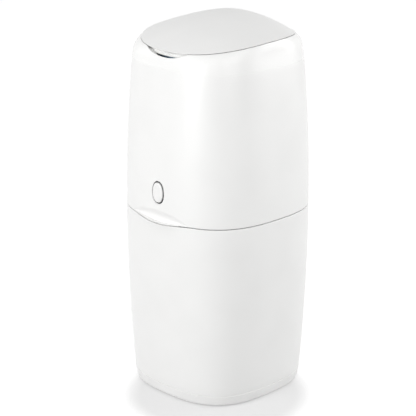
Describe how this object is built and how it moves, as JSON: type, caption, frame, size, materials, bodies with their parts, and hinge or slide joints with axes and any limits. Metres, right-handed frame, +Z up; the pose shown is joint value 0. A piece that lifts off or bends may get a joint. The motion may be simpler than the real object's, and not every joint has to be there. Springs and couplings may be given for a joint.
{
  "type": "nappy disposal bin",
  "caption": "Tall rounded-square nappy bin with a hinged upper housing, push-button latch, domed lid, film cassette, sprung clamp jaws and film cutter.",
  "frame": {"origin": "on the floor under the middle of the bin", "axes": "+Z up, front with the button and finger catch towards -Y, +X to the side seen at the right of the front corner"},
  "size_m": [0.24, 0.2464, 0.5515],
  "materials": {
    "white_shell": "satin moulded ABS",
    "white_base": "satin moulded ABS",
    "inner_plastic": "matt moulded polypropylene",
    "cassette_plastic": "matt moulded polypropylene",
    "cutter_plastic": "matt moulded acetal",
    "film": "pleated polyethylene film",
    "soft_lip": "matt thermoplastic rubber",
    "foot_rubber": "matt rubber",
    "steel": "zinc-plated or stainless steel"
  },
  "bodies": {
    "bin": {"lower_shell": "white_shell", "base_plinth": "white_base", "rubber_feet": "foot_rubber", "base_screws": "steel", "rim_seal": "soft_lip", "catch_spring": "steel", "catch_screws": "steel", "main_hinge_pin": "steel"},
    "housing": {"upper_shell": "white_shell", "top_collar": "white_shell", "cassette_deck": "inner_plastic", "deck_screws": "steel", "clamp_frame": "inner_plastic", "clamp_screws": "steel", "latch_pin": "steel", "cutter_pin": "steel", "lid_hinge_pin": "steel", "cassette_tub": "cassette_plastic", "film_stack": "film", "cassette_cover": "cassette_plastic", "button_seal": "soft_lip", "button_spring": "steel", "jaw_springs_left": "steel", "jaw_springs_right": "steel"},
    "button": {"button_cap": "white_shell"},
    "latch": {"latch_lever": "inner_plastic"},
    "left_jaw": {"jaw_left": "cassette_plastic", "jaw_lip_left": "soft_lip"},
    "right_jaw": {"jaw_right": "cassette_plastic", "jaw_lip_right": "soft_lip"},
    "cutter": {"cutter_arm": "cutter_plastic", "cutter_blade": "steel", "blade_screws": "steel"},
    "lid": {"lid_cover": "white_shell", "lid_liner": "inner_plastic", "lid_seal": "soft_lip", "lid_screws": "steel"}
  },
  "joints": [
    {"name": "housing_hinge", "type": "hinge", "parent": "bin", "child": "housing", "pos_m": [0, 0.12, 0.273], "axis": [-1, 0, 0], "range_deg": [0, 90], "deforming": ["catch_spring"]},
    {"name": "lid_hinge", "type": "hinge", "parent": "housing", "child": "lid", "pos_m": [0, 0.10557, 0.51903], "axis": [-1, 0, 0], "range_deg": [0, 100]},
    {"name": "button_slide", "type": "slide", "parent": "housing", "child": "button", "axis": [0, 1, 0], "range_m": [0, 0.0035], "stiffness_N_per_m": 600, "springref_m": -0.004, "deforming": ["button_spring"]},
    {"name": "latch_pivot", "type": "hinge", "parent": "housing", "child": "latch", "pos_m": [0, -0.0929, 0.3456], "axis": [1, 0, 0], "range_deg": [0, 6.6]},
    {"name": "left_jaw_slide", "type": "slide", "parent": "housing", "child": "left_jaw", "axis": [-1, 0, 0], "range_m": [0, 0.032], "stiffness_N_per_m": 250, "springref_m": -0.01, "deforming": ["jaw_springs_left"]},
    {"name": "right_jaw_slide", "type": "slide", "parent": "housing", "child": "right_jaw", "axis": [1, 0, 0], "range_m": [0, 0.032], "stiffness_N_per_m": 250, "springref_m": -0.01, "deforming": ["jaw_springs_right"]},
    {"name": "cutter_swing", "type": "hinge", "parent": "housing", "child": "cutter", "pos_m": [-0.07405, -0.057, 0.453], "axis": [0, 0, 1], "range_deg": [0, 75]}
  ],
  "couplings": [
    {"joint": "latch_pivot", "follows": "button_slide", "rad_per_m": 32.258}
  ]
}
